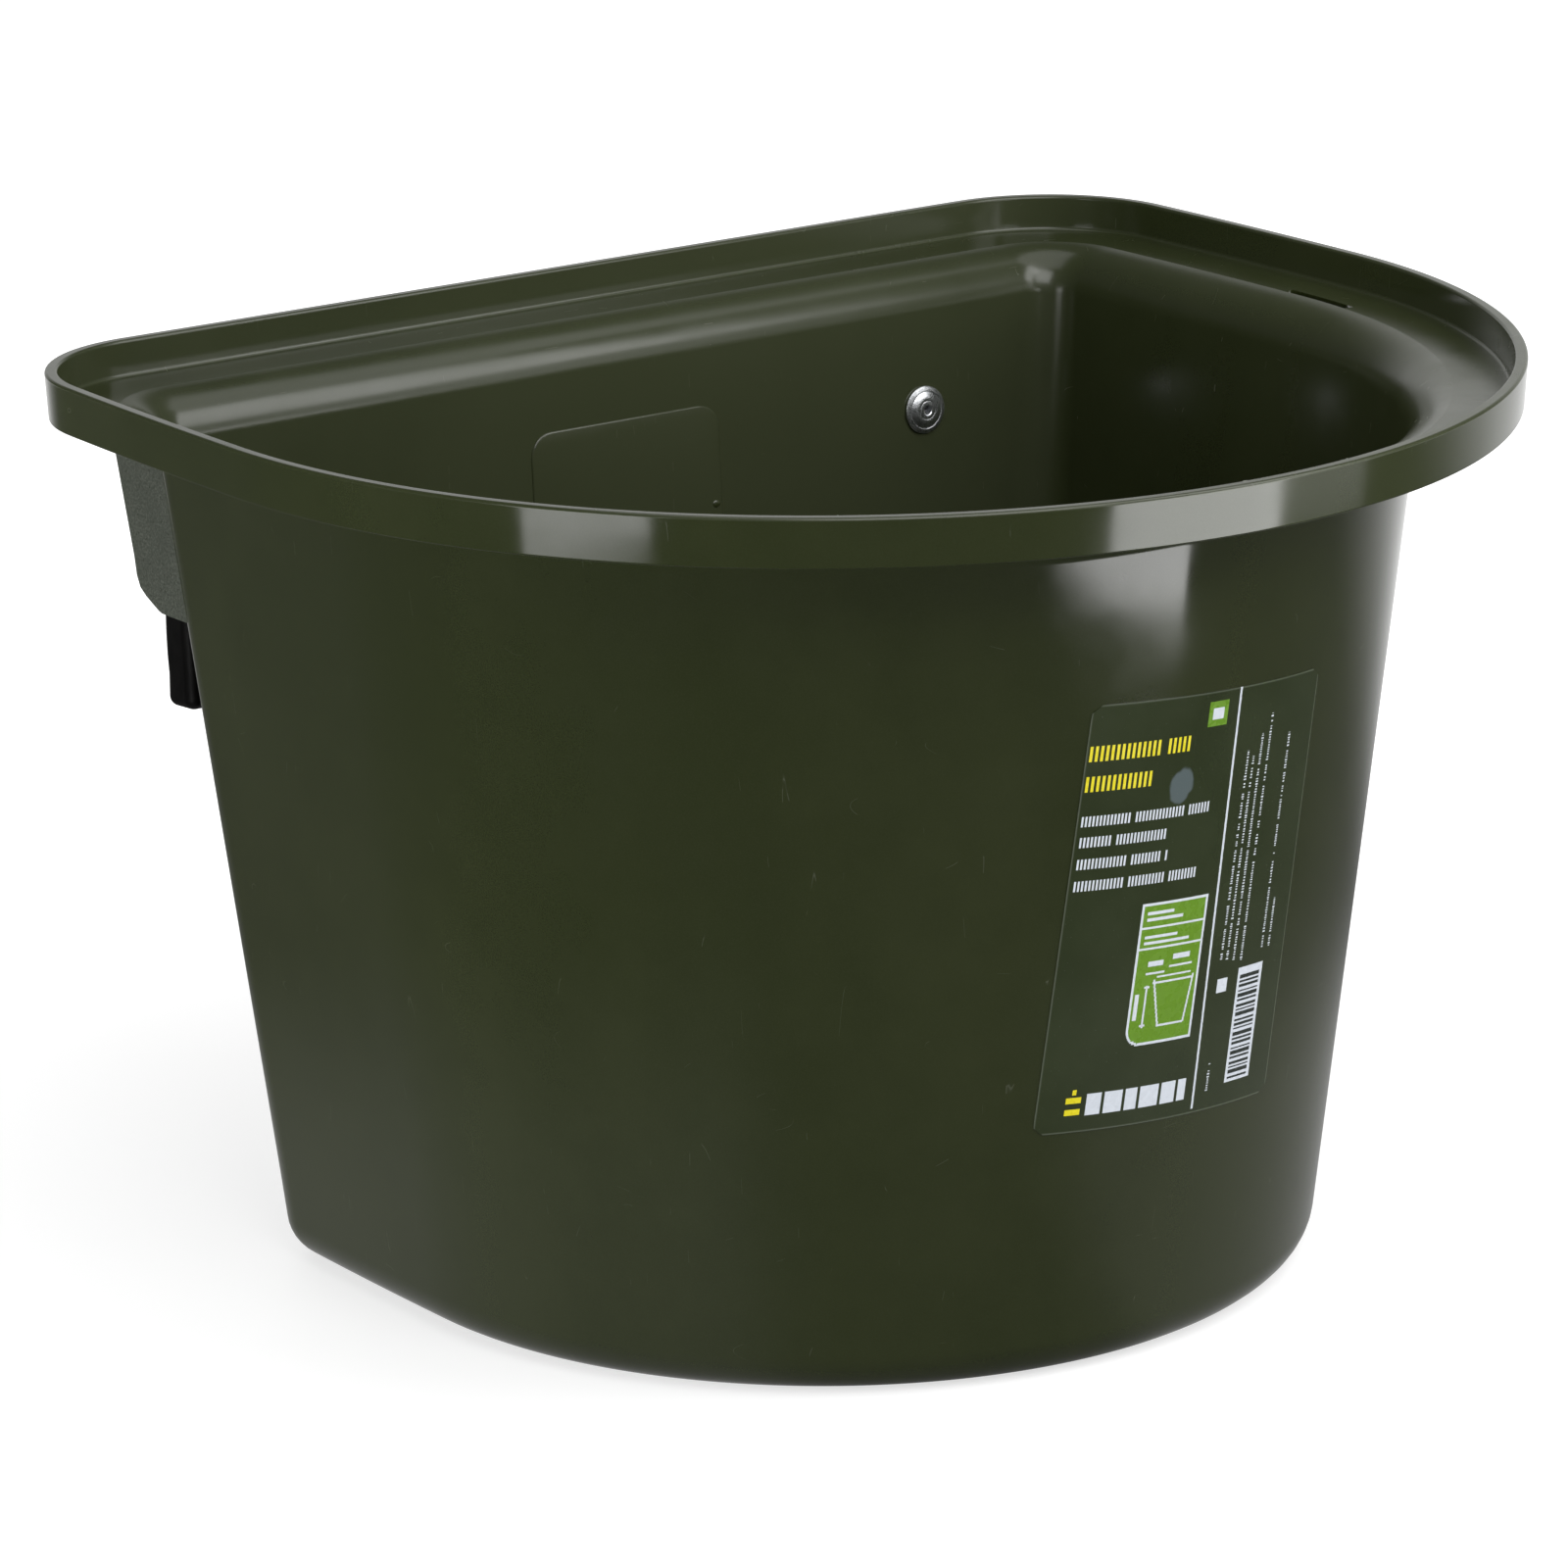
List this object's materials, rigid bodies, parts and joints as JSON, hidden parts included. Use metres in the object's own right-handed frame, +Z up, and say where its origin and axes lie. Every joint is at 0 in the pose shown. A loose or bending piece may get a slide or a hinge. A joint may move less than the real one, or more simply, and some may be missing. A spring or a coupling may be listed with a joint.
{
  "type": "hanging feed bucket",
  "caption": "D-shaped olive-green plastic feed bucket with a flat back, rolled rim, front label and two riveted hook straps that hang it on a rail or door.",
  "frame": {"origin": "on the ground plane, under the middle of the rim's width and depth", "axes": "+X to the right seen from the front, +Y towards the flat back that hangs, +Z up"},
  "size_m": [0.3898, 0.3546, 0.26],
  "materials": {
    "shell_plastic": "glossy moulded polypropylene with fine scratches",
    "label_film": "clear gloss film with printed bars",
    "hook_steel": "black coated steel",
    "sleeve_rubber": "matt black",
    "rivet_aluminium": "bright turned",
    "mandrel_steel": "broken pin, dull"
  },
  "bodies": {
    "root": {"bucket_shell": "shell_plastic", "front_label": "label_film", "left_hook_strap": "hook_steel", "right_hook_strap": "hook_steel", "left_leg_sleeve": "sleeve_rubber", "right_leg_sleeve": "sleeve_rubber", "left_rivet_body": "rivet_aluminium", "right_rivet_body": "rivet_aluminium", "left_rivet_mandrel": "mandrel_steel", "right_rivet_mandrel": "mandrel_steel"}
  },
  "joints": []
}
